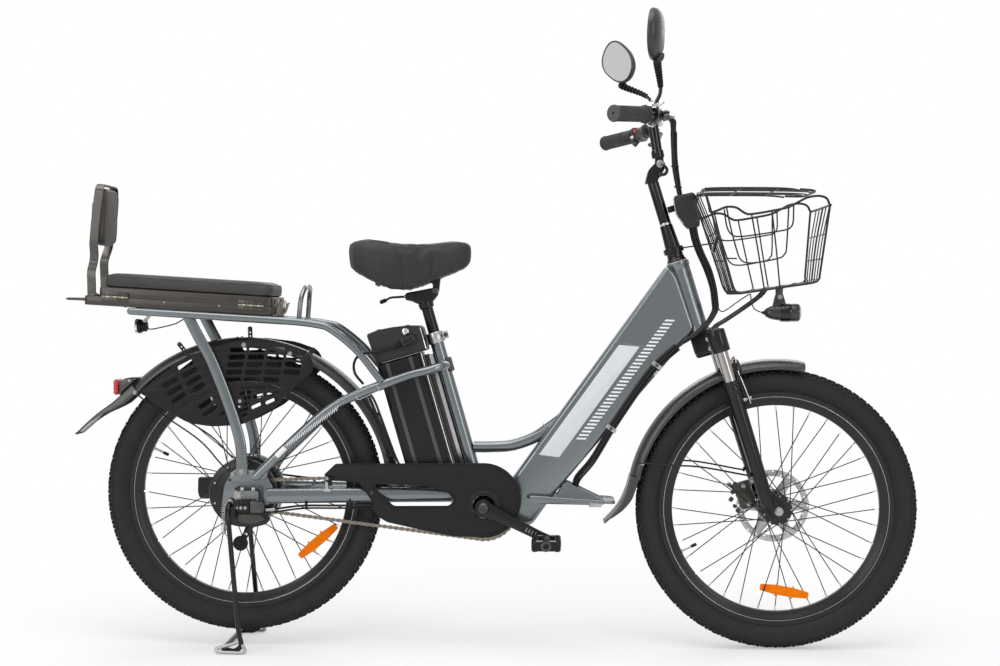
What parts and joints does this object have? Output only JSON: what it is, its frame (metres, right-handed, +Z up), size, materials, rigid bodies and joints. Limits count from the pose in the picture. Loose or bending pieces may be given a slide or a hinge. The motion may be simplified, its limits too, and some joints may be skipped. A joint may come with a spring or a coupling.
{
  "type": "electric bicycle",
  "caption": "Step-through electric bicycle with hub motor, upright battery, wire front basket, cushioned seat box with backrest, mirrors and centre stand.",
  "frame": {"origin": "on the ground under the middle of the length, on the wheels' middle plane", "axes": "+X towards the front wheel, +Y to the rider's left, +Z up"},
  "size_m": [1.8756, 0.7146, 1.3829],
  "materials": {
    "frame_paint": "metallic grey gloss",
    "black_paint": "satin black",
    "black_plastic": "satin black",
    "black_wire": "satin black wire",
    "rubber": "matt black",
    "tyre": "matt black tread",
    "chrome": "polished",
    "steel": "dull",
    "brass": "oiled",
    "vinyl": "fine grain",
    "red_lens": "clear red",
    "battery_shell": "satin black"
  },
  "bodies": {
    "frame": {"head_tube": "frame_paint", "down_tube": "frame_paint", "seat_tube": "frame_paint", "chain_stays": "frame_paint", "rear_rack": "frame_paint", "footboard": "black_paint", "rear_fender": "black_plastic", "tail_lamp": "black_plastic", "tail_lamp_lens": "red_lens", "coat_guard_right": "black_plastic", "coat_guard_left": "black_plastic", "seat_box": "black_paint", "backrest_frame": "black_paint", "backrest_pad": "vinyl", "horn": "black_plastic", "chain_guard": "black_plastic", "rear_caliper": "steel", "down_tube_cable": "rubber", "seat_clamp": "steel", "derailleur": "black_paint", "chain": "brass"},
    "steerer": {"fork_crown": "black_paint", "stem": "black_paint", "cable_bundle": "rubber", "basket": "black_wire"},
    "basket_cover": {"basket_lid": "black_wire"},
    "lamp": {"headlamp": "black_plastic"},
    "lowers": {"fork_lowers": "black_paint", "front_caliper": "steel", "front_fender": "black_plastic"},
    "front_wheel": {"front_tyre": "tyre", "front_rim": "black_paint", "front_hub": "black_paint"},
    "rear_wheel": {"rear_tyre": "tyre", "rear_rim": "black_paint", "rear_hub_motor": "black_paint"},
    "cog": {"freewheel": "steel"},
    "cranks": {"crankset": "black_paint"},
    "right_pedal": {"pedal_right": "black_plastic"},
    "left_pedal": {"pedal_left": "black_plastic"},
    "cage": {"derailleur_cage": "steel"},
    "jockey": {"jockey_wheel": "black_plastic"},
    "stand": {"center_stand": "black_paint", "stand_spring": "steel"},
    "box_cover": {"seat_box_lid": "black_plastic", "seat_cushion": "vinyl"},
    "right_latch": {"box_latch_right": "black_plastic"},
    "left_latch": {"box_latch_left": "black_plastic"},
    "battery": {"battery_case": "battery_shell", "battery_cap": "black_plastic", "battery_lead": "rubber"},
    "post": {"seat_post": "black_paint"},
    "seat": {"saddle": "vinyl"},
    "release": {"saddle_lever": "black_plastic"},
    "bars": {"handlebar": "black_paint"},
    "throttle": {"throttle_grip": "rubber"},
    "right_brake": {"brake_lever_right": "chrome"},
    "left_brake": {"brake_lever_left": "chrome"},
    "right_mirror": {"mirror_right": "black_plastic"},
    "left_mirror": {"mirror_left": "black_plastic"}
  },
  "joints": [
    {"name": "steer", "type": "hinge", "parent": "frame", "child": "steerer", "pos_m": [0.413, 0, 0.848], "axis": [-0.2924, 0, 0.9563], "range_deg": [-40, 40]},
    {"name": "fork_travel", "type": "slide", "parent": "steerer", "child": "lowers", "axis": [-0.2924, 0, 0.9563], "range_m": [0, 0.01], "stiffness_N_per_m": 6000, "springref_m": -0.05},
    {"name": "front_wheel_spin", "type": "hinge", "parent": "lowers", "child": "front_wheel", "pos_m": [0.629, 0, 0.3075], "axis": [0, 1, 0], "continuous": true},
    {"name": "rear_wheel_spin", "type": "hinge", "parent": "frame", "child": "rear_wheel", "pos_m": [-0.542, 0, 0.339], "axis": [0, 1, 0], "continuous": true},
    {"name": "crank_spin", "type": "hinge", "parent": "frame", "child": "cranks", "pos_m": [-0.009, 0, 0.314], "axis": [0, 1, 0], "continuous": true, "deforming": ["chain"]},
    {"name": "freewheel_spin", "type": "hinge", "parent": "frame", "child": "cog", "pos_m": [-0.542, 0, 0.339], "axis": [0, 1, 0], "continuous": true},
    {"name": "pedal_right_spin", "type": "hinge", "parent": "cranks", "child": "right_pedal", "pos_m": [0.12762, 0, 0.24737], "axis": [0, 1, 0], "continuous": true},
    {"name": "pedal_left_spin", "type": "hinge", "parent": "cranks", "child": "left_pedal", "pos_m": [-0.14562, 0, 0.38063], "axis": [0, 1, 0], "continuous": true},
    {"name": "cage_swing", "type": "hinge", "parent": "frame", "child": "cage", "pos_m": [-0.515, 0, 0.284], "axis": [0, 1, 0], "range_deg": [0, 12], "stiffness_Nm_per_rad": 0.5, "springref_deg": -17.19, "deforming": ["chain"]},
    {"name": "jockey_spin", "type": "hinge", "parent": "cage", "child": "jockey", "pos_m": [-0.49, 0, 0.3186], "axis": [0, 1, 0], "continuous": true},
    {"name": "stand_swing", "type": "hinge", "parent": "frame", "child": "stand", "pos_m": [-0.56, 0, 0.325], "axis": [0, 1, 0], "range_deg": [0, 85]},
    {"name": "box_lid_swing", "type": "hinge", "parent": "frame", "child": "box_cover", "pos_m": [-0.67174, -0.0835, 0.76208], "axis": [0.9981, 0, -0.0619], "range_deg": [0, 95]},
    {"name": "latch_right_swing", "type": "hinge", "parent": "frame", "child": "right_latch", "pos_m": [-0.45759, -0.036, 0.73697], "axis": [0, 1, 0], "range_deg": [0, 60]},
    {"name": "latch_left_swing", "type": "hinge", "parent": "frame", "child": "left_latch", "pos_m": [-0.45759, 0.036, 0.73697], "axis": [0, 1, 0], "range_deg": [0, 60]},
    {"name": "battery_slide", "type": "slide", "parent": "frame", "child": "battery", "axis": [-0.2756, 0, 0.9613], "range_m": [0, 0.04]},
    {"name": "seat_post_slide", "type": "slide", "parent": "frame", "child": "post", "axis": [-0.2756, 0, 0.9613], "range_m": [-0.015, 0.08]},
    {"name": "saddle_flip", "type": "hinge", "parent": "post", "child": "seat", "pos_m": [-0.1175, 0, 0.7845], "axis": [0, 1, 0], "range_deg": [0, 60]},
    {"name": "saddle_lever_turn", "type": "hinge", "parent": "post", "child": "release", "pos_m": [-0.184, 0.01, 0.7715], "axis": [0, 1, 0], "range_deg": [0, 15], "stiffness_Nm_per_rad": 0.3, "springref_deg": -5.73},
    {"name": "stem_tilt", "type": "hinge", "parent": "steerer", "child": "bars", "pos_m": [0.374, 0, 1.06], "axis": [0, 1, 0], "range_deg": [-10, 10]},
    {"name": "throttle_twist", "type": "hinge", "parent": "bars", "child": "throttle", "pos_m": [0.33173, -0.21244, 1.14634], "axis": [-0.5958, -0.7997, -0.0745], "range_deg": [0, 60], "stiffness_Nm_per_rad": 0.15, "springref_deg": -11.46},
    {"name": "brake_right_pull", "type": "hinge", "parent": "bars", "child": "right_brake", "pos_m": [0.37725, -0.16912, 1.14875], "axis": [0, 0, -1], "range_deg": [0, 12], "stiffness_Nm_per_rad": 1.5, "springref_deg": -17.19},
    {"name": "brake_left_pull", "type": "hinge", "parent": "bars", "child": "left_brake", "pos_m": [0.37725, 0.16912, 1.14875], "axis": [0, 0, 1], "range_deg": [0, 12], "stiffness_Nm_per_rad": 1.5, "springref_deg": -17.19},
    {"name": "mirror_right_turn", "type": "hinge", "parent": "bars", "child": "right_mirror", "pos_m": [0.35, -0.302, 1.242], "axis": [0, 0, 1], "range_deg": [-20, 20]},
    {"name": "mirror_left_turn", "type": "hinge", "parent": "bars", "child": "left_mirror", "pos_m": [0.302, 0.302, 1.275], "axis": [0, 0, 1], "range_deg": [-20, 20]},
    {"name": "basket_lid_swing", "type": "hinge", "parent": "steerer", "child": "basket_cover", "pos_m": [0.464, 0, 1], "axis": [0, -1, 0], "range_deg": [0, 85]},
    {"name": "headlamp_tilt", "type": "hinge", "parent": "steerer", "child": "lamp", "pos_m": [0.636, 0, 0.771], "axis": [0, 1, 0], "range_deg": [-12, 12]}
  ],
  "couplings": [
    {"joint": "freewheel_spin", "follows": "crank_spin", "ratio": 2.5714},
    {"joint": "jockey_spin", "follows": "crank_spin", "ratio": 4.5}
  ]
}
